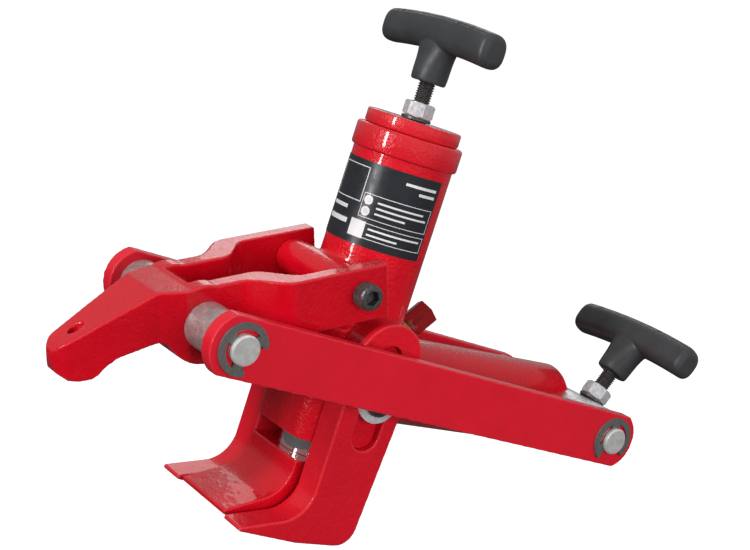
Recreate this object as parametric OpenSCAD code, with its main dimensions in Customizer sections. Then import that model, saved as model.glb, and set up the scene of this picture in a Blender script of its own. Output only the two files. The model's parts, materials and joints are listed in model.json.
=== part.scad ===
// Hydraulic bead breaker for truck and tractor wheels.
// A push cylinder stands on +Z over the sole. A hooked claw pivots on its front,
// two side links pull the claw from a clamp cylinder that lies along +X behind it.
// Millimetres. Origin: push axis at the sole plane. +X towards the clamp cylinder,
// +Y to the right-hand side, +Z up along the push axis. Modelled closed up, at rest.

/* [Push cylinder] */
// Outer radius of the round barrel
barrel_r = 35.4; // [35.4:0.1:36]
// Bore radius of the barrel
bore_r = 28; // [27.9:0.1:28.2]
// Height of the barrel's top face above the sole
barrel_top = 281; // [279:1:284]
// Height of the underside of the square lower block
block_bottom = 64; // [63:0.5:65]
// Half width of the lower block across the shoes
block_half_w = 33; // [33:0.1:33.2]
// Radius of the push rod
rod_r = 22.5; // [21.5:0.1:22.6]
// Outer radius of the locking collar
collar_r = 37.7; // [37:0.1:39]
// Radius of the end cap
cap_r = 33.5; // [32:0.1:34.5]

/* [Shoes] */
// Outer half width over the two shoes
shoe_half_w = 55; // [55:0.1:56]
// Radius of each shoe's rounded top
shoe_top_r = 26.3; // [25:0.1:26.5]
// Distance of the toe tips in front of the push axis
toe_reach = 76.7; // [72:0.1:80]
// Width of the key slot
slot_w = 22; // [21:0.5:23]

/* [Push foot] */
// Width of the foot blade
foot_w = 59; // [56:0.5:61]
// Height of the blade's top edge
foot_top = 49; // [48:0.5:50]

/* [Claw] */
// Distance of the claw pivot in front of the push axis
pivot_dx = 36.6; // [36.4:0.1:37]
// Height of the claw pivot
pivot_z = 174.8; // [174.5:0.1:175]
// Angle that the claw's arms dip below level at rest, in degrees
claw_dip = 20.6; // [20:0.1:21]
// Half width over the ears
ear_half_w = 51.5; // [51:0.1:52]
// Radius of the boss around the front pin
boss_r = 26.5; // [26:0.1:27]

/* [Links] */
// Distance of the front pin in front of the push axis
front_pin_dx = 131.5; // [131.3:0.1:131.7]
// Height of the front pin
front_pin_z = 131; // [130.9:0.1:131.1]
// Distance of the rear pin behind the push axis
rear_pin_dx = 209.7; // [209.5:0.1:209.9]
// Height of the rear pin and of the clamp cylinder's axis
rear_pin_z = 109; // [108.9:0.1:109.1]
// Radius of both link pins
pin_r = 10; // [9.8:0.1:10]
// Height of a link's bar
link_h = 40; // [38:1:42]
// Thickness of a link
link_t = 11; // [10:0.5:11]

/* [Clamp cylinder] */
// Outer radius of the clamp barrel
clamp_r = 31.5; // [31.3:0.1:32]
// Bore radius of the clamp barrel
clamp_bore_r = 25.5; // [25.4:0.1:25.8]
// Radius of the clamp rod
clamp_rod_r = 14; // [13.5:0.1:14.5]
// Radius of the crosshead bar
cross_r = 19.5; // [19.5:0.1:20]

/* [Handles] */
// Length of a T handle's grip
grip_l = 118; // [110:1:124]
// Radius of the grip
grip_r = 11.5; // [10.5:0.1:12.5]
// Lean of the rear handle away from the push axis, in degrees
rear_lean = 25; // [22:0.5:28]

/* [Hidden] */

$fn = 64;

red = [0.80, 0.05, 0.12];
steel = [0.72, 0.72, 0.70];
zinc = [0.80, 0.82, 0.84];
dark = [0.20, 0.21, 0.22];
grip_grey = [0.23, 0.24, 0.25];
bronze = [0.72, 0.52, 0.25];
brass = [0.78, 0.62, 0.30];
seal_black = [0.08, 0.08, 0.08];

run_gap = 0.05;      // radial clearance of a shaft in its bore
side_gap = 0.3;      // gap between faces that slide past each other
big = 400;           // longer than any cut

// Threaded parts
stud_r = 6;
stud_hole_r = stud_r + run_gap;
foot_hole_bottom = 10;
adapter_r = 6.5;
adapter_seat = 10;
nut_flats = 19;
nut_h = 10.3;
washer_t = 2.6;
washer_r = 10.5;

// Push cylinder
collar_bottom = barrel_top - 17;
cap_top = barrel_top + 10;
spigot_bottom = barrel_top - 13;
block_half_l = 35;
block_corner_r = 14;
block_top = 152;
gland_top = block_bottom + 28;
rod_foot = foot_top + side_gap;
piston_top = spigot_bottom - 14;
piston_bottom = piston_top - 18;
cross_boss_r = 13;
cross_boss_half = 39.7;
spring_mid_r = (rod_r + bore_r) / 2;
oil_hole_r = 3;

// Shoes
shoe_t = shoe_half_w - block_half_w;
slot_top = 133.5;
slot_bottom = 80.4;
slot_mid = (slot_top + slot_bottom) / 2;
key_half_w = shoe_half_w - 5;
shoe_bolt_r = 5;
shoe_washer_r = 16.5;
shoe_washer_t = 2.5;
shoe_head_h = 5;
shoe_heel_r = 14;
shoe_front_r = 24;
shoe_front_x = -26;
shoe_front_z = 38;
toe_thick = 2.8;
toe_top = 7.8;

// Foot
foot_back = 20;
blade_x = -30.5;
blade_r = 24.5;
blade_z = 43;
foot_tip = 75;
foot_tip_top = 9.2;

// Claw, in its own frame: u runs forward along the arms, w up from them
pivot_r = 6;
arm_top = 17.8;
arm_bottom = -19.5;
ear_inner = cross_boss_half + side_gap;
ear_outer = ear_half_w;
boss_half = 29.5;
nose_tip_r = 12.5;
nose_hole_r = 4.25;
nose_hole_dx = 203.3;
fork_half = 17;
bolt_head_h = 10.6;
bolt_head_r = 9;

// Links
link_inner = 65;
link_outer = link_inner + link_t;
pin_half = 81.1;
link_end_r = 23;
link_dx = front_pin_dx + rear_pin_dx;
link_dz = rear_pin_z - front_pin_z;
link_l = sqrt(link_dx * link_dx + link_dz * link_dz);
link_tilt = atan2(-link_dz, link_dx);
clip_t = 1.8;
clip_y = link_outer + 0.25;
clip_r = 17.5;
clip_inner_r = 13;
groove_r = 8;

// Clamp cylinder
clamp_start = block_half_l;
clamp_floor = clamp_start + 10;
clamp_end = 203;
clamp_gland_start = 140;
clamp_gland_end = 168;
clamp_piston_start = clamp_floor + 6;
clamp_piston_end = clamp_piston_start + 15;
hub_start = 175;
hub_r = 18;
hub_socket_end = 193;
cross_half = 64;
cross_bore_r = 14.6;
clamp_spring_r = (clamp_rod_r + clamp_bore_r) / 2;

// Handles
neck_gap = 27;
neck_h = 22;
grip_rise = 61;
rear_handle_y = -36;
rear_seat = 19.2;

// Inlet
port_x = 38.6;
port_z = 134.4;
port_lean = 41.6;
port_bore_r = 4.5;

// Arc of points about a centre
function arc(cx, cy, r, a0, a1, step = 4) =
    let (n = max(1, round(abs(a1 - a0) / step)))
    [for (i = [0:n]) let (a = a0 + (a1 - a0) * i / n) [cx + r * cos(a), cy + r * sin(a)]];

// Smooth S between two points, level at both ends
function s_bend(x0, y0, x1, y1, n = 8) =
    [for (i = [0:n]) let (t = i / n) [x0 + (x1 - x0) * t, y0 + (y1 - y0) * (1 - cos(180 * t)) / 2]];

// Extrudes a drawing in X and Z between two places along Y
module along_y(y0, y1) {
    translate([0, y1, 0]) rotate([90, 0, 0]) linear_extrude(height = y1 - y0) children();
}

// Round bar along Y
module rod_y(r, y0, y1) {
    translate([0, y0, 0]) rotate([-90, 0, 0]) cylinder(r = r, h = y1 - y0);
}

// Round bar along X
module rod_x(r, x0, x1) {
    translate([x0, 0, 0]) rotate([0, 90, 0]) cylinder(r = r, h = x1 - x0);
}

// Tube standing on Z
module ring(ro, ri, z0, z1) {
    translate([0, 0, z0]) difference() {
        cylinder(r = ro, h = z1 - z0);
        translate([0, 0, -1]) cylinder(r = ri, h = z1 - z0 + 2);
    }
}

module hexagon(flats, h) {
    cylinder(r = flats / sqrt(3), h = h, $fn = 6);
}

// Oblong bar along Y between two centres, half width r
module oblong_y(r, y0, y1) {
    for (z = [slot_bottom, slot_top]) translate([0, 0, z]) rod_y(r, y0, y1);
    translate([-r, y0, slot_bottom]) cube([2 * r, y1 - y0, slot_top - slot_bottom]);
}

// Coil spring along Z from z0 to z1, with closed ends
module coil(mid_r, wire_r, z0, z1, turns) {
    per_turn = 20;
    sides = 8;
    n = turns * per_turn;
    rise = z1 - z0 - 2 * wire_r;
    points = [for (i = [0:n]) let (a = 360 * i / per_turn, z = z0 + wire_r + rise * i / n)
        for (j = [0:sides - 1]) let (b = 360 * j / sides, r = mid_r + wire_r * cos(b))
            [r * cos(a), r * sin(a), z + wire_r * sin(b)]];
    skin = [for (i = [0:n - 1]) for (j = [0:sides - 1]) let (k = (j + 1) % sides)
        [i * sides + j, i * sides + k, (i + 1) * sides + k, (i + 1) * sides + j]];
    start = [for (j = [0:sides - 1]) j];
    end = [for (j = [sides - 1:-1:0]) n * sides + j];
    polyhedron(points = points, faces = concat([start, end], [for (f = skin) [f[3], f[2], f[1], f[0]]]));
}

// Places a child at the claw pivot, with -X forward along the arms and Z up from them
module claw_frame() {
    translate([-pivot_dx, 0, pivot_z]) rotate([0, -claw_dip, 0]) children();
}

// Places a child at a link pin
module at_front_pin() { translate([-front_pin_dx, 0, front_pin_z]) children(); }
module at_rear_pin() { translate([rear_pin_dx, 0, rear_pin_z]) children(); }

// Places a child on the rear handle's axis, Z away from the crosshead's centre
module rear_handle_axis() {
    at_rear_pin() translate([0, rear_handle_y, 0]) rotate([0, rear_lean, 0]) children();
}

// Places a child on the oil inlet's axis
module port_axis() { translate([port_x, 0, port_z]) rotate([0, port_lean, 0]) children(); }

// Tapped seat of the inlet adapter, shared by the two cylinders it stands between
module adapter_hole() {
    port_axis() {
        translate([0, 0, -6]) cylinder(r = adapter_r + run_gap, h = 30);
        translate([0, 0, adapter_seat - 0.2]) cylinder(r = 10.1, h = 20);
    }
}

// ---- Push cylinder ----

module block_body() {
    lx = block_half_l - block_corner_r;
    ly = block_half_w - block_corner_r;
    h = block_top - block_bottom;
    translate([0, 0, block_bottom]) {
        translate([-block_half_l, -ly, 0]) cube([2 * block_half_l, 2 * ly, h]);
        translate([-lx, -block_half_w, 0]) cube([2 * lx, 2 * block_half_w, h]);
        for (x = [-lx, lx], y = [-ly, ly]) translate([x, y, 0]) cylinder(r = block_corner_r, h = h);
    }
}

module push_cylinder() {
    color(red) difference() {
        union() {
            intersection() {
                block_body();
                rotate_extrude($fn = 96) polygon([[0, block_bottom], [60, block_bottom],
                    [60, block_top - 26], [barrel_r - 1, block_top], [0, block_top]]);
            }
            translate([0, 0, block_top - 20]) cylinder(r = barrel_r, h = barrel_top - block_top + 20, $fn = 96);
            translate([-pivot_dx, 0, pivot_z]) rod_y(cross_boss_r, -cross_boss_half, cross_boss_half);
            for (s = [-1, 1]) scale([1, s, 1]) oblong_y(slot_w / 2 - run_gap, block_half_w - 2, key_half_w);
            port_axis() translate([0, 0, -14]) cylinder(r = 11, h = 22);
        }
        translate([0, 0, block_bottom - 1]) cylinder(r = bore_r, h = barrel_top, $fn = 96);
        translate([-pivot_dx, 0, pivot_z]) for (s = [-1, 1])
            rod_y(pivot_r + run_gap, min(s * 22, s * 45), max(s * 22, s * 45));
        for (s = [-1, 1]) translate([0, 0, slot_mid])
            rod_y(shoe_bolt_r + run_gap, min(s * 32, s * 60), max(s * 32, s * 60));
        translate([0, 0, rear_pin_z]) rod_x(oil_hole_r, 20, 60);
        adapter_hole();
        translate([clamp_start, 0, rear_pin_z]) rod_x(clamp_r + 2 * run_gap, 0, 60);
    }
}

module locking_collar() {
    color(red) ring(collar_r, barrel_r + run_gap, collar_bottom, barrel_top);
}

module end_cap() {
    color(red) difference() {
        union() {
            translate([0, 0, barrel_top]) cylinder(r = cap_r, h = cap_top - barrel_top, $fn = 96);
            translate([0, 0, spigot_bottom]) cylinder(r = bore_r - run_gap, h = barrel_top - spigot_bottom, $fn = 96);
        }
        translate([0, 0, spigot_bottom + 5]) ring(cap_r, bore_r - 2.6, 0, 3.4);
        translate([0, 0, cap_top - 18]) cylinder(r = stud_hole_r, h = 20);
    }
}

module end_cap_oring() {
    color(seal_black) translate([0, 0, spigot_bottom + 6.7]) rotate_extrude($fn = 96)
        translate([bore_r - 1.35, 0]) circle(r = 1.2, $fn = 24);
}

module data_label() {
    half_angle = 110;
    color(dark) rotate([0, 0, 180 - half_angle]) rotate_extrude(angle = 2 * half_angle, $fn = 96)
        translate([barrel_r + 0.02, 201]) square([0.3, 56]);
}

// Stud, washer, nut and grip shared by both handles, Z away from the seat
module stud_on(sink) {
    color(dark) translate([0, 0, -sink]) cylinder(r = stud_r, h = sink + neck_gap + 22);
}

module lock_washer_on() {
    color(dark) ring(washer_r, stud_hole_r, 0, washer_t);
}

module nut_on() {
    color(zinc) translate([0, 0, washer_t]) difference() {
        intersection() {
            hexagon(nut_flats, nut_h);
            translate([0, 0, nut_h / 2]) sphere(r = nut_flats / sqrt(3) + 0.35, $fn = 48);
        }
        translate([0, 0, -1]) cylinder(r = stud_hole_r, h = nut_h + 2);
    }
}

module handle_on() {
    color(grip_grey) difference() {
        union() {
            translate([0, 0, grip_rise]) {
                rod_y(grip_r, -grip_l / 2 + grip_r, grip_l / 2 - grip_r);
                for (s = [-1, 1]) translate([0, s * (grip_l / 2 - grip_r), 0]) sphere(r = grip_r, $fn = 48);
            }
            translate([0, 0, neck_gap]) cylinder(r1 = 12.3, r2 = 14.5, h = neck_h);
            translate([0, 0, neck_gap + neck_h]) cylinder(r1 = 14.5, r2 = 17, h = 10);
        }
        translate([0, 0, neck_gap - 1]) cylinder(r = stud_hole_r, h = 24);
        for (s = [-1, 1]) translate([s * (grip_r + 4), 0, grip_rise - 12]) cube([8, 60, 40], center = true);
    }
}

module on_cap() { translate([0, 0, cap_top]) children(); }
module top_stud() { on_cap() stud_on(16); }
module top_lock_washer() { on_cap() lock_washer_on(); }
module top_nut() { on_cap() nut_on(); }
module top_handle() { on_cap() handle_on(); }

// ---- Shoes ----

module shoe_outline() {
    heel_x = shoe_top_r - 8.6 - shoe_heel_r;
    difference() {
        union() {
            translate([0, slot_top]) circle(r = shoe_top_r, $fn = 96);
            polygon(concat(
                [[-shoe_top_r, slot_top]],
                arc(shoe_front_x - shoe_front_r, shoe_front_z, shoe_front_r, 0, -76),
                [[-toe_reach, toe_top], [-toe_reach, toe_top - toe_thick], [-30, 0]],
                arc(heel_x, shoe_heel_r, shoe_heel_r, -90, -4, 6),
                [[shoe_top_r, slot_top]]));
        }
        for (z = [slot_bottom, slot_top]) translate([0, z]) circle(r = slot_w / 2);
        translate([-slot_w / 2, slot_bottom]) square([slot_w, slot_top - slot_bottom]);
    }
}

// Plate of one side, hollowed where the barrel stands out past the block
module shoe(y_low, y_high) {
    color(red) difference() {
        along_y(y_low, y_high) shoe_outline();
        translate([0, 0, slot_top - 4]) cylinder(r = barrel_r + run_gap, h = shoe_top_r + 8, $fn = 96);
    }
}

module left_shoe() { shoe(-shoe_half_w, -block_half_w); }
module right_shoe() { shoe(block_half_w, shoe_half_w); }

module shoe_washers() {
    color(zinc) for (s = [-1, 1]) scale([1, s, 1]) translate([0, 0, slot_mid]) difference() {
        rod_y(shoe_washer_r, shoe_half_w, shoe_half_w + shoe_washer_t);
        rod_y(shoe_bolt_r + run_gap, shoe_half_w - 1, shoe_half_w + shoe_washer_t + 1);
    }
}

module shoe_bolts() {
    seat = shoe_half_w + shoe_washer_t;
    color(dark) for (s = [-1, 1]) scale([1, s, 1]) translate([0, 0, slot_mid]) difference() {
        union() {
            rod_y(shoe_bolt_r, block_half_w, seat + 1);
            rod_y(8.5, seat, seat + shoe_head_h);
        }
        translate([0, seat + shoe_head_h - 2.8, 0]) rotate([-90, 0, 0]) hexagon(6, 4);
    }
}

// ---- Push ram ----

module rod_gland() {
    color(bronze) difference() {
        ring(bore_r - run_gap, rod_r + run_gap, block_bottom, gland_top);
        ring(rod_r + 3.2, rod_r - 1, block_bottom - 1, block_bottom + 5);
    }
}

module rod_wiper() { color(seal_black) ring(rod_r + 3.1, rod_r + run_gap, block_bottom + 0.4, block_bottom + 4.9); }

module push_rod() {
    color(steel) difference() {
        translate([0, 0, rod_foot]) cylinder(r = rod_r, h = piston_bottom - rod_foot, $fn = 96);
        translate([0, 0, rod_foot - 1]) cylinder(r = stud_hole_r, h = 27);
    }
}

module push_piston() {
    color(steel) difference() {
        translate([0, 0, piston_bottom]) cylinder(r = bore_r - run_gap, h = piston_top - piston_bottom, $fn = 96);
        translate([0, 0, piston_bottom + 7]) ring(bore_r + 1, bore_r - 4, 0, 6);
    }
}

module push_piston_seal() {
    color(seal_black) translate([0, 0, piston_bottom + 7.3]) ring(bore_r - run_gap, bore_r - 3.9, 0, 5.4);
}

module push_return_spring() {
    color(dark) coil(spring_mid_r, 1.7, gland_top + 0.2, piston_bottom - 0.2, 12);
}

module foot_outline() {
    polygon(concat(
        [[blade_x, foot_top]],
        arc(blade_x - blade_r, blade_z, blade_r, 0, -69),
        [[-foot_tip, foot_tip_top], [-foot_tip, foot_tip_top - 3], [-28, 0], [8, 0]],
        arc(8, 12, 12, -90, 0, 10),
        [[foot_back, foot_top]]));
}

module push_foot() {
    color(red) difference() {
        along_y(-foot_w / 2, foot_w / 2) foot_outline();
        translate([0, 0, foot_hole_bottom]) cylinder(r = stud_hole_r, h = 60);
    }
}

module foot_stud() {
    color(dark) translate([0, 0, foot_hole_bottom + 1]) cylinder(r = stud_r, h = 55);
}

// ---- Claw ----

module claw_side() {
    boss_u = (front_pin_dx - pivot_dx) * cos(claw_dip) + (pivot_z - front_pin_z) * sin(claw_dip);
    boss_w = (front_pin_dx - pivot_dx) * sin(claw_dip) - (pivot_z - front_pin_z) * cos(claw_dip);
    scale([-1, 1]) {
        translate([boss_u, boss_w]) circle(r = boss_r, $fn = 96);
        polygon([[-20.5, arm_bottom], [-19, arm_top], [134, arm_top - 0.6], [194, -9.5], [198, -14],
            [199, -21], [197, -28], [191, -33], [184, -34.5], [176, -34], [172, -31.5], [168, -27.5],
            [160, -22.5], [151, -20.2], [141, -17.6], [134, -16], [125, arm_bottom],
            [80, arm_bottom]]);
    }
}

module claw_plan() {
    half = concat(
        [[-21, ear_outer], [40, ear_outer]],
        s_bend(50, ear_outer, 80, boss_half),
        [[117, boss_half], [134, 22.7]],
        arc(186.5, 0, nose_tip_r, 72, 0, 8));
    scale([-1, 1]) for (s = [-1, 1]) scale([1, s]) polygon(concat(half, [[-21, 0]]));
}

// Gap of the fork: straight sides in front, wide between the ears, sloping front wall
module fork_gap() {
    gap = concat([[-30, ear_inner], [36, ear_inner]], s_bend(38, ear_inner, 66, fork_half), [[120, fork_half]]);
    intersection() {
        translate([0, 0, -60]) linear_extrude(height = 120) scale([-1, 1])
            for (s = [-1, 1]) scale([1, s]) polygon(concat(gap, [[120, 0], [-30, 0]]));
        along_y(-60, 60) scale([-1, 1])
            polygon([[-30, -60], [-30, 60], [110.3, 60], [110.3, arm_top], [80, -6], [78, -60]]);
    }
}

module claw() {
    color(red) difference() {
        claw_frame() difference() {
            intersection() {
                along_y(-60, 60) claw_side();
                translate([0, 0, -60]) linear_extrude(height = 120) claw_plan();
            }
            fork_gap();
            rod_y(pivot_r + run_gap, -60, 60);
        }
        at_front_pin() rod_y(pin_r + run_gap, -60, 60);
        translate([-nose_hole_dx, 0, 60]) cylinder(r = nose_hole_r, h = 80);
    }
}

module claw_pivot_bolts() {
    seat = ear_outer + side_gap;
    color(dark) translate([-pivot_dx, 0, pivot_z]) for (s = [-1, 1]) scale([1, s, 1]) difference() {
        union() {
            rod_y(pivot_r, 23, seat + 1);
            rod_y(bolt_head_r, seat, seat + bolt_head_h);
        }
        translate([0, seat + bolt_head_h - 6, 0]) rotate([-90, 0, 0]) rotate([0, 0, 12]) hexagon(10, 8);
    }
}

// ---- Links ----

module link_outline() {
    intersection() {
        translate([-link_end_r, -link_h / 2]) square([link_l + 2 * link_end_r, link_h]);
        union() {
            for (x = [0, link_l]) translate([x, 0]) circle(r = link_end_r, $fn = 96);
            translate([0, -link_end_r]) square([link_l, 2 * link_end_r]);
        }
    }
}

module link_bar(y0) {
    color(red) difference() {
        at_front_pin() rotate([0, link_tilt, 0]) along_y(y0, y0 + link_t) link_outline();
        at_front_pin() rod_y(pin_r + run_gap, -big, big);
        at_rear_pin() rod_y(pin_r + run_gap, -big, big);
    }
}

module left_link() { link_bar(-link_outer); }
module right_link() { link_bar(link_inner); }

module grooved_pin() {
    color(steel) difference() {
        union() {
            rod_y(pin_r, -pin_half + 1, pin_half - 1);
            for (s = [-1, 1]) scale([1, s, 1]) translate([0, pin_half - 1, 0]) rotate([-90, 0, 0])
                cylinder(r1 = pin_r, r2 = pin_r - 1, h = 1);
        }
        for (s = [-1, 1]) scale([1, s, 1]) translate([0, clip_y, 0]) rotate([-90, 0, 0])
            ring(pin_r + 2, groove_r, -0.1, clip_t + 0.1);
    }
}

module front_pin() { at_front_pin() grooved_pin(); }
module rear_pin() { at_rear_pin() grooved_pin(); }

// Open retaining ring with three prongs, mouth along -X before turning
module e_clip(turn) {
    rotate([0, turn, 0]) rotate([-90, 0, 0]) difference() {
        union() {
            ring(clip_r, clip_inner_r, 0, clip_t);
            for (a = [0, 115, -115]) rotate([0, 0, a]) translate([groove_r + 0.1, -3.5, 0]) cube([6, 7, clip_t]);
        }
        translate([0, 0, -1]) linear_extrude(height = clip_t + 2)
            polygon([[0, 0], [-30, 26], [-30, -26]]);
        translate([0, 0, -1]) cylinder(r = groove_r + 0.05, h = clip_t + 2);
    }
}

module clip_pair(turn) {
    color(dark) {
        translate([0, -clip_y - clip_t, 0]) e_clip(turn);
        translate([0, clip_y, 0]) e_clip(turn);
    }
}

module front_pin_clips() { at_front_pin() clip_pair(-150); }
module rear_pin_clips() { at_rear_pin() clip_pair(-100); }

module spacer(y0, y1) {
    color(zinc) at_front_pin() difference() {
        rod_y(15.8, y0, y1);
        rod_y(pin_r + run_gap, -big, big);
    }
}

module left_spacer() { spacer(-link_inner + run_gap, -boss_half - side_gap); }
module right_spacer() { spacer(boss_half + side_gap, link_inner - run_gap); }

// ---- Clamp cylinder ----

module clamp_line() { translate([0, 0, rear_pin_z]) children(); }

module clamp_cylinder() {
    color(red) difference() {
        clamp_line() difference() {
            rod_x(clamp_r, clamp_start, clamp_end);
            rod_x(clamp_bore_r, clamp_floor, clamp_end + 1);
            rod_x(oil_hole_r, clamp_start - 1, clamp_floor + 1);
        }
        at_rear_pin() rod_y(cross_r + 1, -60, 60);
        adapter_hole();
    }
}

module clamp_gland() {
    color(bronze) clamp_line() difference() {
        rod_x(clamp_bore_r - run_gap, clamp_gland_start, clamp_gland_end);
        rod_x(clamp_rod_r + run_gap, clamp_gland_start - 1, clamp_gland_end + 1);
        rod_x(clamp_rod_r + 4.1, clamp_gland_end - 5, clamp_gland_end + 1);
    }
}

module clamp_wiper() {
    color(seal_black) clamp_line() difference() {
        rod_x(clamp_rod_r + 4, clamp_gland_end - 4.9, clamp_gland_end - 0.2);
        rod_x(clamp_rod_r + run_gap, clamp_gland_end - 6, clamp_gland_end + 1);
    }
}

module clamp_piston() {
    color(steel) clamp_line() difference() {
        rod_x(clamp_bore_r - run_gap, clamp_piston_start, clamp_piston_end);
        difference() {
            rod_x(clamp_bore_r + 1, clamp_piston_start + 5, clamp_piston_start + 11);
            rod_x(clamp_bore_r - 4, clamp_piston_start, clamp_piston_end);
        }
    }
}

module clamp_piston_seal() {
    color(seal_black) clamp_line() difference() {
        rod_x(clamp_bore_r - run_gap, clamp_piston_start + 5.3, clamp_piston_start + 10.7);
        rod_x(clamp_bore_r - 3.9, clamp_piston_start, clamp_piston_end);
    }
}

module clamp_return_spring() {
    color(dark) clamp_line() rotate([0, 90, 0])
        coil(clamp_spring_r, 1.6, clamp_piston_end + 0.2, clamp_gland_start - 0.2, 8);
}

module clamp_rod() { color(steel) clamp_line() rod_x(clamp_rod_r, clamp_piston_end, hub_socket_end - 0.2); }

module crosshead() {
    color(zinc) difference() {
        union() {
            at_rear_pin() {
                rod_y(cross_r, -cross_half + 2, cross_half - 2);
                for (s = [-1, 1]) scale([1, s, 1]) translate([0, cross_half - 2, 0]) rotate([-90, 0, 0])
                    cylinder(r1 = cross_r, r2 = cross_r - 2, h = 2);
            }
            clamp_line() rod_x(hub_r, hub_start, rear_pin_dx);
        }
        at_rear_pin() rod_y(cross_bore_r, -big, big);
        clamp_line() rod_x(clamp_rod_r + run_gap, hub_start - 1, hub_socket_end);
        rear_handle_axis() cylinder(r = stud_hole_r, h = 40);
        rear_handle_axis() translate([0, 0, rear_seat]) cylinder(r = washer_r + 0.6, h = 10);
    }
}

module on_crosshead() { rear_handle_axis() translate([0, 0, rear_seat]) children(); }
module rear_stud() { on_crosshead() stud_on(rear_seat - cross_bore_r - 0.4); }
module rear_lock_washer() { on_crosshead() lock_washer_on(); }
module rear_nut() { on_crosshead() nut_on(); }
module rear_handle() { on_crosshead() handle_on(); }

// ---- Oil inlet ----

module inlet_adapter() {
    color(brass) port_axis() difference() {
        union() {
            translate([0, 0, -5.5]) cylinder(r = adapter_r, h = 32.5);
            translate([0, 0, adapter_seat]) hexagon(17, 7);
        }
        translate([0, 0, -6]) cylinder(r = port_bore_r, h = 40);
    }
}

module dust_cap() {
    color([0.72, 0.03, 0.08]) port_axis() difference() {
        union() {
            translate([0, 0, 18]) cylinder(r = 9.2, h = 4);
            translate([0, 0, 21]) hexagon(17.5, 17);
        }
        translate([0, 0, 17]) cylinder(r = adapter_r + 2 * run_gap, h = 11);
    }
}

push_cylinder();
locking_collar();
end_cap();
end_cap_oring();
data_label();
top_stud();
top_lock_washer();
top_nut();
top_handle();
left_shoe();
right_shoe();
shoe_washers();
shoe_bolts();
rod_gland();
rod_wiper();
push_rod();
push_piston();
push_piston_seal();
push_return_spring();
foot_stud();
push_foot();
claw_pivot_bolts();
claw();
front_pin();
left_spacer();
right_spacer();
left_link();
right_link();
front_pin_clips();
rear_pin();
rear_pin_clips();
clamp_cylinder();
clamp_gland();
clamp_wiper();
clamp_piston();
clamp_piston_seal();
clamp_return_spring();
clamp_rod();
crosshead();
rear_stud();
rear_lock_washer();
rear_nut();
rear_handle();
inlet_adapter();
dust_cap();
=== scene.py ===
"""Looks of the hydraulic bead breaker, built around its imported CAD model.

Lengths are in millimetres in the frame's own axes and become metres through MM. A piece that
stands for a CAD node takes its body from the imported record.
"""

import json
import math

import bmesh
import bpy
from mathutils import Matrix, Vector


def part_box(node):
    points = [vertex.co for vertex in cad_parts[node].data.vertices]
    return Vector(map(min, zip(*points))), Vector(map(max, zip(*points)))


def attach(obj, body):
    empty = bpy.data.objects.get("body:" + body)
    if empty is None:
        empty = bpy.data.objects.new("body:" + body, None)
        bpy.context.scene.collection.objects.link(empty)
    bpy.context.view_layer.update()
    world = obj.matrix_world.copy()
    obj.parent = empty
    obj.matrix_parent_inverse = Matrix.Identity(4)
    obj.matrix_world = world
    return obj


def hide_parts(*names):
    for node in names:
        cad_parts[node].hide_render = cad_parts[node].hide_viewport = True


MM = 0.001
TAU = 2 * math.pi

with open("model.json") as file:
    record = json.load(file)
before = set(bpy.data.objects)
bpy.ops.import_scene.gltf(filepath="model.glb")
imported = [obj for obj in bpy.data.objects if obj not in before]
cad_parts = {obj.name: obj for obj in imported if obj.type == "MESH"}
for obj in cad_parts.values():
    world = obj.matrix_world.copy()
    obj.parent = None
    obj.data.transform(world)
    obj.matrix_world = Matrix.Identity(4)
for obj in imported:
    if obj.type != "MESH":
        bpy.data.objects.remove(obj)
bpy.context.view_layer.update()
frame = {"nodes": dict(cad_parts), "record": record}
scene = bpy.context.scene
record = frame["record"]
BODY_OF = {node: body for body, nodes in record["behaviour"]["bodies"].items() for node in nodes}
SLOT_OF = {part["node"]: part["material_slot"] for part in record["subparts"]}


# ---- Shader helpers ----


def shader_node(tree, kind, values=None):
    """A new shader node with its input sockets set from values."""
    node = tree.nodes.new(kind)
    for socket, value in (values or {}).items():
        node.inputs[socket].default_value = value
    return node


def grain(tree, size, detail=2.0, stretch=(1, 1, 1)):
    """Noise with blotches about size mm across, fixed to the piece and drawn out by stretch."""
    place = shader_node(tree, "ShaderNodeTexCoord")
    mapping = shader_node(tree, "ShaderNodeMapping", {"Scale": [1 / s for s in stretch]})
    texture = shader_node(tree, "ShaderNodeTexNoise", {"Scale": 1000 / size, "Detail": detail})
    tree.links.new(place.outputs["Object"], mapping.inputs["Vector"])
    tree.links.new(mapping.outputs["Vector"], texture.inputs["Vector"])
    return texture.outputs[0]


def ramp(tree, value, from_low, from_high, to_low, to_high):
    """value mapped from one span to another and clamped."""
    node = shader_node(tree, "ShaderNodeMapRange", {1: from_low, 2: from_high, 3: to_low, 4: to_high})
    tree.links.new(value, node.inputs[0])
    return node.outputs[0]


def blend_colours(tree, factor, first, second):
    """Colour that goes from first to second with factor; each is a colour or a socket."""
    node = tree.nodes.new("ShaderNodeMix")
    node.data_type = "RGBA"
    for index, colour in ((6, first), (7, second)):
        if isinstance(colour, bpy.types.NodeSocket):
            tree.links.new(colour, node.inputs[index])
        else:
            node.inputs[index].default_value = (*colour, 1)
    tree.links.new(factor, node.inputs[0])
    return node.outputs[2]


def edges(tree, start=0.51, end=0.58):
    """1 along outer edges and 0 on flats, from the mesh's own curvature; it places painted highlights."""
    geometry = shader_node(tree, "ShaderNodeNewGeometry")
    return ramp(tree, geometry.outputs["Pointiness"], start, end, 0, 1)


def hollows(tree, start=0.49, end=0.42):
    """1 in inner corners and 0 on flats; it places the painted shade in hollows."""
    geometry = shader_node(tree, "ShaderNodeNewGeometry")
    return ramp(tree, geometry.outputs["Pointiness"], start, end, 0, 1)


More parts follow.
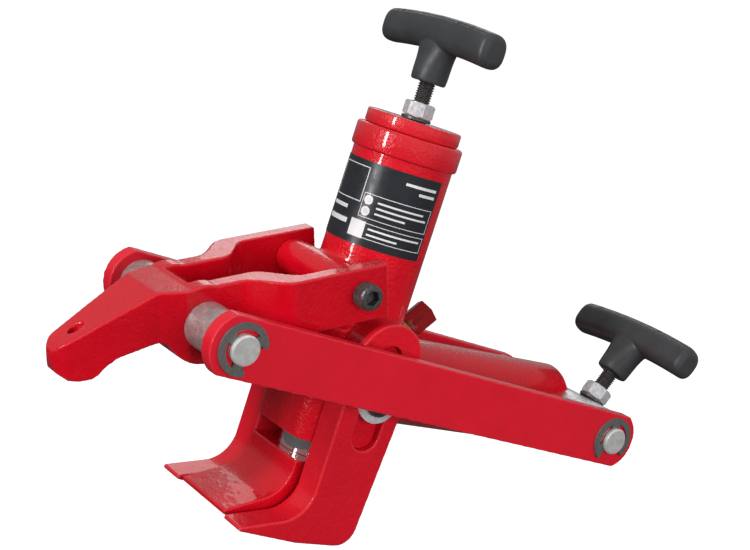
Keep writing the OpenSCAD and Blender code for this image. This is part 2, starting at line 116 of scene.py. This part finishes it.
def bumps(tree, shader, layers):
    """Stacks bump layers on the shader, each (height socket, strength, depth in mm)."""
    normal = None
    for height, strength, depth in layers:
        node = shader_node(tree, "ShaderNodeBump", {"Strength": strength, "Distance": depth * MM})
        tree.links.new(height, node.inputs["Height"])
        if normal is not None:
            tree.links.new(normal, node.inputs["Normal"])
        normal = node.outputs["Normal"]
    tree.links.new(normal, shader.inputs["Normal"])


def scaled(colour, factor):
    """colour made darker or lighter by factor."""
    return tuple(min(1.0, channel * factor) for channel in colour)


def material(name, colour_socket_maker, roughness, bump_maker, settings):
    """A Principled material. The two makers take the node tree; roughness is (size, low, high)."""
    made = bpy.data.materials.new(name)
    made.use_nodes = True
    tree = made.node_tree
    shader = tree.nodes["Principled BSDF"]
    tree.links.new(colour_socket_maker(tree), shader.inputs["Base Color"])
    size, low, high = roughness
    tree.links.new(ramp(tree, grain(tree, size, 3), 0.35, 0.65, low, high), shader.inputs["Roughness"])
    bumps(tree, shader, bump_maker(tree))
    for socket, value in settings.items():
        shader.inputs[socket].default_value = value
    return made


# ---- Materials ----


def enamel(name, colour, roughness, coat, peel_depth, cast_depth, runs_depth=0.0):
    """Red paint over cast or cut steel: cloudy tone, painted highlights on outer edges, painted shade in
    inner corners, orange peel, and if asked the casting's fine grain and vertical runs. Depths are in mm."""

    def colours(tree):
        tone = ramp(tree, grain(tree, 22, 3), 0.3, 0.7, 0, 1)
        cloudy = blend_colours(tree, tone, scaled(colour, 0.95), scaled(colour, 1.04))
        # Painted shade: the red darkens to half its value in inner corners.
        shaded_hollows = blend_colours(tree, hollows(tree), cloudy, scaled(colour, 0.5))
        # Painted highlight: outer edges turn towards a pale pink.
        return blend_colours(tree, ramp(tree, edges(tree), 0, 1, 0, 0.35), shaded_hollows, (0.85, 0.10, 0.12))

    def relief(tree):
        layers = [(grain(tree, 2.0, 2), 1.0, peel_depth), (grain(tree, 9, 1), 0.6, peel_depth)]
        if cast_depth:
            layers.append((grain(tree, 0.9, 4), 0.6, cast_depth))
        if runs_depth:
            layers.append((grain(tree, 4, 1, (1, 1, 5)), 0.5, runs_depth))
        return layers

    return material(name, colours, (9, *roughness), relief,
                    {"Coat Weight": coat, "Coat Roughness": 0.05, "Specular IOR Level": 0.2})


def bare_metal(name, bright, dull, blotch, roughness, lines=(1, 1, 1), line_depth=0.01, metallic=0.92):
    """Unpainted metal with dull blotches and fine tool marks drawn out along one axis."""

    def colours(tree):
        patchy = ramp(tree, grain(tree, blotch, 4), 0.4, 0.62, 0, 1)
        toned = blend_colours(tree, patchy, dull, bright)
        # Painted highlight: outer edges are lighter than the bright tone.
        return blend_colours(tree, ramp(tree, edges(tree), 0, 1, 0, 0.5), toned, scaled(bright, 1.25))

    def relief(tree):
        return [(grain(tree, 0.35, 2, lines), 0.5, line_depth), (grain(tree, 6, 2), 0.2, 0.03)]

    return material(name, colours, (blotch * 0.6, *roughness), relief, {"Metallic": metallic})


def moulded(name, colour, roughness, texture_size, depth, coat=0.0, through=0.0):
    """Moulded plastic, rubber or film with a fine surface texture and painted highlights along its edges.
    """

    def colours(tree):
        tone = ramp(tree, grain(tree, 18, 2), 0.3, 0.7, 0, 1)
        cloudy = blend_colours(tree, tone, scaled(colour, 0.85), scaled(colour, 1.12))
        # Painted highlight: edges are lighter, up to nearly twice the colour.
        return blend_colours(tree, ramp(tree, edges(tree), 0, 1, 0, 0.4), cloudy, scaled(colour, 1.9))

    def relief(tree):
        return [(grain(tree, texture_size, 3), 0.5, depth), (grain(tree, 9, 1), 0.2, depth)]

    return material(name, colours, (5, *roughness), relief,
                    {"Coat Weight": coat, "Coat Roughness": 0.1, "Transmission Weight": through})


RED = (0.68, 0.0025, 0.014)
enamel_block = enamel("enamel_block", RED, (0.24, 0.36), 0.7, 0.60, 0.0, 0.3)
enamel_barrel = enamel("enamel_barrel", RED, (0.20, 0.32), 0.75, 0.60, 0.0)
# Painted shade: the claw's red is the same RED made darker (0.92).
enamel_claw_shaded = enamel("enamel_claw_shaded", scaled(RED, 0.92), (0.19, 0.33), 0.6, 0.32, 0.0, 0.25)
enamel_foot = enamel("enamel_foot", RED, (0.22, 0.36), 0.6, 0.45, 0.0, 0.15)
enamel_plate = enamel("enamel_plate", (0.76, 0.012, 0.030), (0.34, 0.46), 0.3, 0.12, 0.0)
enamel_shoe = enamel("enamel_shoe", (0.72, 0.008, 0.022), (0.28, 0.42), 0.5, 0.45, 0.03)
machined = bare_metal("machined", (0.92, 0.92, 0.89), (0.70, 0.69, 0.67), 4, (0.28, 0.42), metallic=0.55)
tube_steel = bare_metal("tube_steel", (0.50, 0.47, 0.46), (0.24, 0.20, 0.19), 4, (0.26, 0.42), (1, 5, 1),
                        metallic=0.6)
chrome = bare_metal("chrome", (0.80, 0.80, 0.82), (0.72, 0.72, 0.74), 12, (0.06, 0.13), (1, 1, 0.2), 0.004)
zinc = bare_metal("zinc", (0.84, 0.85, 0.87), (0.60, 0.63, 0.68), 3, (0.26, 0.40), metallic=0.45)
bronze = bare_metal("bronze", (0.62, 0.42, 0.20), (0.42, 0.27, 0.12), 3, (0.3, 0.45))
brass = bare_metal("brass", (0.74, 0.47, 0.18), (0.46, 0.28, 0.12), 3, (0.3, 0.45), metallic=0.7)
spring = bare_metal("spring", (0.30, 0.30, 0.31), (0.16, 0.16, 0.17), 3, (0.35, 0.5))
oxide = bare_metal("oxide", (0.15, 0.15, 0.15), (0.06, 0.057, 0.053), 1.6, (0.32, 0.5), metallic=0.6)
phosphate = bare_metal("phosphate", (0.19, 0.19, 0.185), (0.10, 0.10, 0.098), 2, (0.45, 0.6), metallic=0.5)
grip = moulded("grip", (0.043, 0.046, 0.049), (0.38, 0.52), 0.35, 0.03)
film = moulded("film", (0.014, 0.016, 0.020), (0.28, 0.38), 2.5, 0.06)
ink = moulded("ink", (0.62, 0.62, 0.62), (0.3, 0.4), 1.5, 0.01)
rubber = moulded("rubber", (0.02, 0.02, 0.02), (0.5, 0.65), 0.5, 0.02)
cap_plastic = moulded("cap_plastic", (0.22, 0.006, 0.008), (0.2, 0.3), 1.2, 0.03, 0.5, 0.15)

LOOK_OF = {
    "red_enamel": enamel_block, "claw_enamel": enamel_claw_shaded, "machined_steel": machined,
    "chromed_rod": chrome, "zinc_plate": zinc, "black_oxide": oxide, "phosphated_clip": phosphate,
    "spring_steel": spring, "grip_plastic": grip, "label_film": film, "gland_bronze": bronze,
    "adapter_brass": brass, "seal_rubber": rubber, "cap_plastic": cap_plastic,
}
LOOK_OF_NODE = {"left_spacer": tube_steel, "right_spacer": tube_steel}

for node, shown in frame["nodes"].items():
    shown.data.materials.clear()
    shown.data.materials.append(LOOK_OF_NODE.get(node, LOOK_OF[SLOT_OF[node]]))


# ---- Mesh helpers ----


def new_piece(name, mesh):
    piece = bpy.data.objects.new(name, mesh)
    scene.collection.objects.link(piece)
    return piece


def mesh_of(name, bm, sharp=35):
    """Ends the bmesh: faces point outwards and shade smooth up to the sharp angle in degrees."""
    bmesh.ops.recalc_face_normals(bm, faces=bm.faces)
    mesh = bpy.data.meshes.new(name)
    bm.to_mesh(mesh)
    bm.free()
    mesh.shade_smooth()
    mesh.set_sharp_from_angle(angle=math.radians(sharp))
    return mesh


def bake(piece):
    """Applies the piece's modifiers."""
    graph = bpy.context.evaluated_depsgraph_get()
    piece.data = bpy.data.meshes.new_from_object(piece.evaluated_get(graph))
    piece.modifiers.clear()
    piece.data.shade_smooth()


def dress(piece, look, body):
    """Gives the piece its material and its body."""
    piece.data.materials.clear()
    piece.data.materials.append(look)
    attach(piece, body)


def stand_for(piece, look, node):
    """Shows the piece in place of one CAD node."""
    dress(piece, look, BODY_OF[node])
    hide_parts(node)


def round_off(piece, voxel, rounds):
    """Rebuilds the piece as one skin of voxel-sized faces and wears its edges round."""
    remesh = piece.modifiers.new("skin", "REMESH")
    remesh.mode = "VOXEL"
    remesh.voxel_size = voxel * MM
    smooth = piece.modifiers.new("rounding", "SMOOTH")
    smooth.factor = 0.5
    smooth.iterations = rounds
    bake(piece)


def roughen(piece, size, depth):
    """Raises and sinks the skin by about depth mm in lumps size mm across, as a sand casting is."""
    lumps = bpy.data.textures.new(piece.name + "_lumps", "CLOUDS")
    lumps.noise_scale = size * MM
    lumps.noise_depth = 2
    displace = piece.modifiers.new("lumps", "DISPLACE")
    displace.texture = lumps
    displace.texture_coords = "LOCAL"
    displace.strength = depth * MM
    displace.mid_level = 0.5
    bake(piece)


def cast(node, look, voxel, rounds, lump_size=0.0, lump_depth=0.0):
    """Stands a skin for the CAD node: its shape with rounded edges and, if asked, a cast surface."""
    piece = new_piece(node + "_skin", frame["nodes"][node].data.copy())
    round_off(piece, voxel, rounds)
    if lump_depth:
        roughen(piece, lump_size, lump_depth)
    stand_for(piece, look, node)


def turned(name, rows, segments=96, ring=False, sharp=35):
    """Mesh round the local Z axis through rows of (height, radius), where radius is a number or a
    function of the angle, and 0 closes an end. A ring joins its last row to its first."""
    bm = bmesh.new()
    rings = []
    for height, radius in rows:
        if radius == 0:
            rings.append([bm.verts.new((0, 0, height * MM))])
            continue
        circle = []
        for i in range(segments):
            angle = TAU * i / segments
            reach = (radius(angle) if callable(radius) else radius) * MM
            circle.append(bm.verts.new((reach * math.cos(angle), reach * math.sin(angle), height * MM)))
        rings.append(circle)
    pairs = list(zip(rings, rings[1:])) + ([(rings[-1], rings[0])] if ring else [])
    for low, high in pairs:
        for i in range(segments):
            j = (i + 1) % segments
            if len(low) == 1:
                bm.faces.new((low[0], high[j], high[i]))
            elif len(high) == 1:
                bm.faces.new((low[i], low[j], high[0]))
            else:
                bm.faces.new((low[i], low[j], high[j], high[i]))
    return mesh_of(name, bm, sharp)


def loft(bm, sections):
    """Adds a closed skin through sections of points in mm."""
    made = [[bm.verts.new(Vector(point) * MM) for point in section] for section in sections]
    for near, far in zip(made, made[1:]):
        for i in range(len(near)):
            j = (i + 1) % len(near)
            bm.faces.new((near[i], near[j], far[j], far[i]))
    bm.faces.new(made[0][::-1])
    bm.faces.new(made[-1])


def hexagon(flats):
    """Radius of a hexagon by angle, flats mm across."""
    return lambda angle: flats / 2 / math.cos(angle % (TAU / 6) - TAU / 12)


def chamfered(radius, limit):
    """radius, cut down to limit."""
    return lambda angle: min(radius(angle), limit)


def at(x, y, z, turn=Matrix.Identity(4)):
    """Placing matrix for a point in mm and a turn."""
    return Matrix.Translation(Vector((x, y, z)) * MM) @ turn


def centre_of(node):
    """Middle of a CAD node's box in mm."""
    low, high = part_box(node)
    return (low + high) / 2 / MM


# ---- Dimensions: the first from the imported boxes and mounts, the rest as the CAD source has them ----

CAP_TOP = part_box("end_cap")[1].z / MM
BARREL_R = -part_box("data_label")[0].x / MM
REAR_PIN = centre_of("rear_pin")
CLAW_BOLT = centre_of("claw_pivot_bolts")
NOSE_HOLE = Vector(next(m["pos_m"] for m in record["mounts"] if m["name"] == "nose_hole")) / MM
REAR_HANDLE_Y = centre_of("rear_stud").y
REAR_LEAN = math.radians(25)
REAR_SEAT = 19.2
SPIGOT_R = 27.9
STUD_R = 6
STUD_ROOT_R = 4.9
STUD_PITCH = 1.75
STUD_SINK = 2
STUD_IN_GRIP = 6
WASHER_T = 2.6
WASHER_R = 10.5
NUT_FLATS = 19
NUT_T = 10.3
NECK_GAP = 27
GRIP_RISE = 61
GRIP_LENGTH = 118
GRIP_R = 11.5
GRIP_END = 5.5
CLAW_EAR = 51.5
HEAD_GAP = 0.3
KNURL_COUNT = 48
KNURL_DEPTH = 0.22
SHOE_KEY = 8

TOP_SEAT = at(0, 0, CAP_TOP)
REAR_AXIS = at(REAR_PIN.x, REAR_HANDLE_Y, REAR_PIN.z, Matrix.Rotation(REAR_LEAN, 4, "Y"))
REAR_SEAT_PLACE = REAR_AXIS @ at(0, 0, REAR_SEAT)


# ---- Castings and plates ----

cast("push_cylinder", enamel_block, 1.0, 3, 7, 0.12)
cast("claw", enamel_claw_shaded, 0.8, 4, 6, 0.10)
cast("left_shoe", enamel_shoe, 0.8, 3, 6, 0.08)
cast("right_shoe", enamel_shoe, 0.8, 3, 6, 0.08)
cast("push_foot", enamel_foot, 0.75, 3, 6, 0.10)
cast("left_link", enamel_plate, 0.8, 3)
cast("right_link", enamel_plate, 0.8, 3)
cast("clamp_cylinder", enamel_barrel, 0.9, 3)


def barrel_fittings():
    """Locking collar and end cap, turned with small radii and a shadow gap between them."""
    low, high = (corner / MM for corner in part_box("locking_collar"))
    outer, bore = high.x, BARREL_R - 0.2
    collar = new_piece("locking_collar_turned", turned("collar", [
        (low.z + 2.2, bore), (low.z, bore), (low.z, outer - 2.2), (low.z + 0.4, outer - 1.0),
        (low.z + 1.2, outer - 0.25), (low.z + 2.2, outer),
        (high.z - 2.0, outer), (high.z - 1.1, outer - 0.25), (high.z - 0.35, outer - 0.9),
        (high.z, outer - 1.9), (high.z, bore), (high.z - 2.0, bore)], 160, ring=True, sharp=50))
    stand_for(collar, enamel_barrel, "locking_collar")

    low, high = (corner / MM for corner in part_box("end_cap"))
    rim, floor = high.x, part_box("locking_collar")[1].z / MM
    cap = new_piece("end_cap_turned", turned("cap", [
        (low.z, 0), (low.z, SPIGOT_R), (floor, SPIGOT_R),
        (floor + 0.1, rim - 1.2), (floor + 0.9, rim - 0.3), (floor + 1.6, rim),
        (high.z - 1.3, rim), (high.z - 0.6, rim - 0.3), (high.z - 0.15, rim - 0.9), (high.z, rim - 1.7),
        (high.z, STUD_R + 1.2), (high.z - 0.9, STUD_R + 0.1), (high.z - 3, STUD_R + 0.05), (high.z - 3, 0)],
        160, sharp=50))
    stand_for(cap, enamel_barrel, "end_cap")


barrel_fittings()


# ---- Handles ----


def thread(major, minor, pitch, height):
    """Radius by angle of a right-hand thread at this height, with small flats on crest and root."""
    def radius(angle):
        turn = (height / pitch - angle / TAU) % 1
        wave = min(1.0, max(0.0, abs(2 * turn - 1) * 1.3 - 0.15))
        return minor + (major - minor) * wave
    return radius


def threaded_rod(name, start, end, major, minor, pitch):
    """Closed threaded rod with chamfered ends."""
    count = int((end - start) / pitch * 8)
    heights = [start + (end - start) * i / count for i in range(count + 1)]
    rows = [(start - 1, 0), (start - 1, minor)]
    rows += [(h, thread(major, minor, pitch, h)) for h in heights]
    rows += [(end + 1, minor), (end + 1, 0)]
    return turned(name, rows, 64, sharp=60)


def nut_mesh(name, flats, height, bore):
    """Hexagon nut with both faces chamfered."""
    side = hexagon(flats)
    circle = flats / 2
    steps = [(0, circle - 0.3), (0.25, circle + 0.15), (0.7, circle + 0.8), (1.15, circle + 1.7)]
    rows = [(0, bore + 0.8)]
    rows += [(z, chamfered(side, r)) for z, r in steps]
    rows += [(height - z, chamfered(side, r)) for z, r in reversed(steps)]
    rows += [(height, bore + 0.8), (height - 0.8, bore), (0.8, bore)]
    return turned(name, rows, 144, ring=True, sharp=20)


def lock_washer_mesh(name):
    """Spring washer: one turn with a slanted split whose ends stand apart."""
    bm = bmesh.new()
    inner, outer, rise, steps = STUD_R + 0.1, WASHER_R, 0.35, 72
    gap_start, gap = math.radians(8), math.radians(14)
    sections = []
    for i in range(steps + 1):
        angle = gap_start + (TAU - gap) * i / steps
        lift = rise * (i / steps - 0.5) + 0.1
        profile = ((inner, 0.15), (outer - 0.3, 0.15), (outer, 0.45),
                   (outer, 1.95), (outer - 0.3, 2.25), (inner, 2.25))
        sections.append([(r * math.cos(angle), r * math.sin(angle), z + lift) for r, z in profile])
    loft(bm, sections)
    return mesh_of(name, bm, 40)


def ellipse(cx, cy, cz, across, along, flat, steps=40, power=2.3):
    """Points of a rounded section in the plane flat, 'xz' for the bar or 'xy' for the neck."""
    points = []
    for i in range(steps):
        angle = TAU * i / steps
        c, s = math.cos(angle), math.sin(angle)
        u = across * math.copysign(abs(c) ** (2 / power), c)
        v = along * math.copysign(abs(s) ** (2 / power), s)
        points.append((cx + u, cy, cz + v) if flat == "xz" else (cx + u, cy + v, cz))
    return points


def bar_height(y):
    """Height of the grip bar's centre line, which droops towards its ends."""
    return GRIP_RISE + 0.6 - 3.2 * (2 * y / GRIP_LENGTH) ** 2


def grip_mesh(name, place):
    """T-grip: a drooping bar with rounded ends, a neck that flares into it, and a fine parting line
    with two pin holes on one side."""
    bm = bmesh.new()
    half = GRIP_LENGTH / 2
    steps = 48
    sections = []
    for i in range(steps + 1):
        y = half * math.sin(math.pi * (i / steps - 0.5)) * 0.9995
        into_end = max(0.0, (abs(y) - half + GRIP_END) / GRIP_END)
        lost = GRIP_END * (1 - math.sqrt(1 - into_end**2))
        across, along = GRIP_R - 0.4 - lost, GRIP_R + 0.4 - lost
        sections.append(ellipse(0, y, bar_height(y), across, along, "xz", power=2.7))
    loft(bm, sections)
    neck = [(NECK_GAP, 11.2, 11.2), (NECK_GAP + 0.8, 12.2, 12.2), (NECK_GAP + 5, 12.5, 12.6),
            (37, 12.2, 13.2), (42, 11.7, 14.0), (47, 11.2, 15.4), (52, 10.8, 17.5), (57, 10.2, 20)]
    loft(bm, [ellipse(0, 0, z, rx, ry, "xy", power=2.1) for z, rx, ry in neck])
    piece = new_piece(name, mesh_of(name, bm))
    round_off(piece, 0.65, 6)
    line_turn, line_half, line_depth = math.radians(52), 0.9, 0.35
    pins, pin_r, pin_depth = (41, -23), 1.5, 1.5
    reach = 3
    for vertex in piece.data.vertices:
        x, y, z = vertex.co / MM
        out = Vector((x, 0, z - bar_height(y)))
        off_line = GRIP_R * (math.atan2(out.z, -out.x) - line_turn)
        if abs(y) > half - 5 or abs(off_line) > reach:
            continue
        depth = line_depth * max(0.0, 1 - (off_line / line_half) ** 2)
        depth += sum(pin_depth for pin in pins if math.hypot(y - pin, off_line) < pin_r)
        vertex.co -= out.normalized() * depth * MM
    piece.data.transform(place)
    return piece


def handle(side, place):
    """Threaded stud, spring washer, nut and T-grip on the seat at place."""
    stud = threaded_rod(side + "_stud_threads", -STUD_SINK, NECK_GAP + STUD_IN_GRIP,
                        STUD_R, STUD_ROOT_R, STUD_PITCH)
    stud.transform(place)
    stand_for(new_piece(side + "_stud_threaded", stud), oxide, side + "_stud")
    washer = lock_washer_mesh(side + "_split_washer")
    washer.transform(place)
    stand_for(new_piece(side + "_washer_split", washer), oxide, side + "_lock_washer")
    nut = nut_mesh(side + "_nut_mesh", NUT_FLATS, NUT_T, STUD_R - 0.6)
    nut.transform(place @ at(0, 0, WASHER_T, Matrix.Rotation(math.radians(12), 4, "Z")))
    stand_for(new_piece(side + "_nut_hex", nut), zinc, side + "_nut")
    stand_for(grip_mesh(side + "_grip", place), grip, side + "_handle")


handle("top", TOP_SEAT)
handle("rear", REAR_SEAT_PLACE)


# ---- Bolts ----


def socket_screw(name, shank_r, shank_from, seat, head_r, head_h, socket_flats, socket_deep):
    """Socket-head screw along local Z with a knurled head; heights are from the object's middle plane."""
    def knurl(angle):
        return head_r - KNURL_DEPTH + KNURL_DEPTH * math.cos(KNURL_COUNT * angle)
    top = seat + head_h
    socket = hexagon(socket_flats - 0.5)
    return turned(name, [
        (shank_from, 0), (shank_from, shank_r), (seat, shank_r),
        (seat, head_r - 0.6), (seat + 0.5, head_r - 0.2), (seat + 1.4, knurl), (top - 2.2, knurl),
        (top - 1.5, head_r - 0.3), (top - 0.5, head_r - 0.8), (top, head_r - 1.9),
        (top, hexagon(socket_flats)), (top - 0.3, socket),
        (top - socket_deep, socket), (top - socket_deep - 1.8, 0)], 288, sharp=28)


def claw_bolts():
    """One M12 screw each side; both are one CAD node."""
    pieces = []
    for side, sign in (("left", 1), ("right", -1)):
        mesh = socket_screw("claw_screw_" + side, shank_r=6, shank_from=23, seat=CLAW_EAR + HEAD_GAP,
                            head_r=9, head_h=10.6, socket_flats=10, socket_deep=6)
        mesh.transform(at(CLAW_BOLT.x, 0, CLAW_BOLT.z, Matrix.Rotation(sign * math.radians(90), 4, "X")))
        piece = new_piece("claw_screw_" + side, mesh)
        dress(piece, oxide, BODY_OF["claw_pivot_bolts"])
        pieces.append(piece)
    for piece in pieces:
        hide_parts("claw_pivot_bolts")


claw_bolts()


def shoe_screws():
    """Flat-headed socket screws that hold the shoes; both are one CAD node."""
    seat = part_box("shoe_washers")[1].y / MM
    place = centre_of("shoe_washers")
    pieces = []
    for side, sign in (("left", 1), ("right", -1)):
        mesh = turned("shoe_screw_" + side, [
            (34, 0), (34, 4.9), (seat - 2, 4.9), (seat - 2, 10.8), (seat + 0.2, 11.2), (seat + 2.2, 11.2),
            (seat + 3.4, 10.4), (seat + 4.2, 8.2), (seat + 4.4, 6.2), (seat + 4.4, hexagon(SHOE_KEY)),
            (seat + 1.8, hexagon(SHOE_KEY - 0.4)), (seat + 0.9, 0)], 144, sharp=28)
        mesh.transform(at(place.x, 0, place.z, Matrix.Rotation(sign * math.radians(90), 4, "X")))
        piece = new_piece("shoe_screw_" + side, mesh)
        dress(piece, oxide, BODY_OF["shoe_bolts"])
        pieces.append(piece)
    for piece in pieces:
        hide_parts("shoe_bolts")


shoe_screws()


def nose_thread():
    """Internal thread of the nose hole."""
    start, end, pitch = 81, 103, 1.5
    root_r, crest_r, outer = 4.5, 3.6, 4.7
    count = int((end - start) / pitch * 8)
    heights = [start + (end - start) * i / count for i in range(count + 1)]
    rows = [(h, thread(root_r, crest_r, pitch, h)) for h in heights] + [(end, outer), (start, outer)]
    mesh = turned("nose_thread", rows, 64, ring=True, sharp=60)
    mesh.transform(at(NOSE_HOLE.x, 0, 0))
    dress(new_piece("nose_thread", mesh), oxide, "claw")


nose_thread()


# ---- Label ----


INK_LIFT = 0.06
PANEL_LIFT = 0.07


def film_patch(bm, start, end, low, high, lift=INK_LIFT):
    """Adds a thin curved patch on the label, from azimuth start to end in degrees and low to high in mm."""
    steps = max(2, int(abs(end - start) / 2))
    inner, outer = BARREL_R - 0.02, BARREL_R + lift
    sections = []
    for i in range(steps + 1):
        angle = math.radians(start + (end - start) * i / steps)
        c, s = math.cos(angle), math.sin(angle)
        profile = ((inner, low), (outer, low), (outer, high), (inner, high))
        sections.append([(r * c, r * s, z) for r, z in profile])
    loft(bm, sections)


def outline(bm, start, end, low, high, line=0.45):
    """Adds a thin blank box."""
    turn = math.degrees(line / BARREL_R)
    film_patch(bm, start, end, low, low + line)
    film_patch(bm, start, end, high - line, high)
    film_patch(bm, start, start + turn, low, high)
    film_patch(bm, end - turn, end, low, high)


def film_disc(bm, azimuth, height, radius, count=24):
    """Adds a thin round patch that follows the barrel."""
    def point(reach, share, i):
        across = share * radius * math.cos(TAU * i / count)
        up = share * radius * math.sin(TAU * i / count)
        angle = math.radians(azimuth) + across / BARREL_R
        return bm.verts.new(Vector((reach * math.cos(angle), reach * math.sin(angle), height + up)) * MM)

    inner, outer = BARREL_R - 0.05, BARREL_R + PANEL_LIFT
    rims = [[point(reach, share, i) for i in range(count)]
            for reach, share in ((inner, 0.5), (inner, 1), (outer, 1), (outer, 0.5))]
    middles = point(inner, 0, 0), point(outer, 0, 0)
    for i in range(count):
        j = (i + 1) % count
        for near, far in zip(rims, rims[1:]):
            bm.faces.new((near[i], near[j], far[j], far[i]))
        bm.faces.new((middles[0], rims[0][j], rims[0][i]))
        bm.faces.new((middles[1], rims[-1][i], rims[-1][j]))


def label_print():
    """Blank boxes, plain discs and plain bars in pale ink, with no lettering. Rows start with the
    azimuths of both ends in degrees, then come heights in mm."""
    upper, lower, panel = (-157, -73, 220, 236.5), (-157, -73, 206.5, 217), (-206, -159, 229, 253)
    square = (-163, -145, 206, 217.5)
    disc_azimuth, disc_heights, disc_r = -150, (232.2, 224.4), 3.2
    bars = [
        (-139, -84, 231.4, 1.3), (-139, -78, 227.6, 1.3), (-139, -104, 223.8, 1.3),
        (-141, -78, 212.8, 1.3), (-141, -106, 209.0, 1.3),
        (-116, -76, 249.0, 1.9), (-98, -76, 244.2, 1.9),
        (-206, -174, 222.0, 2.6), (-206, -169, 212.5, 3.4),
    ]
    bm = bmesh.new()
    outline(bm, *upper)
    outline(bm, *lower)
    outline(bm, *panel, line=0.6)
    film_patch(bm, *square, PANEL_LIFT)
    for height in disc_heights:
        film_disc(bm, disc_azimuth, height, disc_r)
    for start, end, low, tall in bars:
        film_patch(bm, start, end, low, low + tall)
    piece = new_piece("label_print", mesh_of("label_print", bm, 20))
    dress(piece, ink, "frame")


label_print()


# ---- Stage, light and camera, in metres and watts ----

FLOOR_Z = -0.0715       # just below the foot at its full 70 mm stroke
FLOOR_REACH = 40
MIDDLE = (0, 0, 0.15)
BACKDROP = 1.05         # seen by the camera only
ROOM_LOW = 0.06         # light from below the horizon, on the part only
ROOM_HIGH = 0.34        # light from above it
HORIZON = 0.12          # half the height of the change between them


def softbox(name, place, target, width, height, power):
    """Rectangular area light at place that faces target."""
    light = bpy.data.lights.new(name, "AREA")
    light.shape = "RECTANGLE"
    light.size, light.size_y, light.energy = width, height, power
    lamp = bpy.data.objects.new(name, light)
    scene.collection.objects.link(lamp)
    lamp.location = place
    lamp.rotation_euler = (Vector(target) - Vector(place)).to_track_quat("-Z", "Y").to_euler()
    return lamp


def studio():
    """A seamless pale sweep: the floor and the backdrop reach the camera as the same near-white."""
    bm = bmesh.new()
    ends = ((-FLOOR_REACH, -FLOOR_REACH), (FLOOR_REACH, -FLOOR_REACH),
            (FLOOR_REACH, FLOOR_REACH), (-FLOOR_REACH, FLOOR_REACH))
    bm.faces.new([bm.verts.new((x, y, FLOOR_Z)) for x, y in ends])
    floor = new_piece("floor", mesh_of("floor", bm))
    paper = bpy.data.materials.new("paper")
    paper.use_nodes = True
    shader = paper.node_tree.nodes["Principled BSDF"]
    shader.inputs["Base Color"].default_value = (0.40, 0.40, 0.40, 1)
    shader.inputs["Roughness"].default_value = 1
    shader.inputs["Emission Color"].default_value = (1, 1, 1, 1)
    shader.inputs["Emission Strength"].default_value = 0.95
    floor.data.materials.append(paper)
    floor.visible_glossy = False
    floor.visible_diffuse = False

    world = bpy.data.worlds.new("studio")
    world.use_nodes = True
    tree = world.node_tree
    out = tree.nodes["World Output"]
    backdrop = tree.nodes["Background"]
    backdrop.inputs["Color"].default_value = (1, 1, 1, 1)
    backdrop.inputs["Strength"].default_value = BACKDROP
    room = shader_node(tree, "ShaderNodeBackground", {"Strength": 1.0})
    place = shader_node(tree, "ShaderNodeTexCoord")
    split = shader_node(tree, "ShaderNodeSeparateXYZ")
    tree.links.new(place.outputs["Generated"], split.inputs[0])
    level = ramp(tree, split.outputs["Z"], -HORIZON, HORIZON, ROOM_LOW, ROOM_HIGH)
    tree.links.new(blend_colours(tree, level, (0, 0, 0), (1, 1, 1)), room.inputs["Color"])
    path = shader_node(tree, "ShaderNodeLightPath")
    mix = shader_node(tree, "ShaderNodeMixShader")
    tree.links.new(path.outputs["Is Camera Ray"], mix.inputs[0])
    tree.links.new(room.outputs[0], mix.inputs[1])
    tree.links.new(backdrop.outputs[0], mix.inputs[2])
    tree.links.new(mix.outputs[0], out.inputs["Surface"])
    scene.world = world

    softbox("overhead", (0.1, -0.1, 1.5), MIDDLE, 1.6, 1.2, 2.0)
    fill = softbox("fill", (-0.35, -1.7, 0.45), MIDDLE, 1.3, 0.9, 13.5)
    front = softbox("front", (0.5, -1.6, 0.40), MIDDLE, 0.7, 0.9, 4.5)
    for soft in (fill, front):
        soft.visible_glossy = False
    softbox("strip", (-1.48, -0.13, 0.50), (0, 0, 0.22), 0.15, 1.0, 15)
    softbox("back", (0.9, 1.5, 1.2), MIDDLE, 1.0, 0.8, 4)


def camera():
    """The view: turned 38 degrees round the push axis, 7 degrees up, and rolled by 18 degrees."""
    turn, rise, roll = (math.radians(angle) for angle in (38.34, 7.23, 17.97))
    back = Vector((-math.sin(turn) * math.cos(rise), -math.cos(turn) * math.cos(rise), math.sin(rise)))
    level = Vector((math.cos(turn), -math.sin(turn), 0))
    steep = Vector((math.sin(turn) * math.sin(rise), math.cos(turn) * math.sin(rise), math.cos(rise)))
    right = level * math.cos(roll) + steep * math.sin(roll)
    up = steep * math.cos(roll) - level * math.sin(roll)
    lens = bpy.data.cameras.new("camera")
    lens.lens, lens.sensor_width = 74.0, 36
    lens.shift_x, lens.shift_y = -0.0028, -0.0013
    lens.clip_start = 0.05
    eye = bpy.data.objects.new("camera", lens)
    scene.collection.objects.link(eye)
    eye.matrix_world = at(-652.44, -837.05, 316.75, Matrix((right, up, back)).transposed().to_4x4())
    scene.camera = eye


studio()
camera()
scene.view_settings.view_transform = "Standard"
scene.view_settings.look = "None"
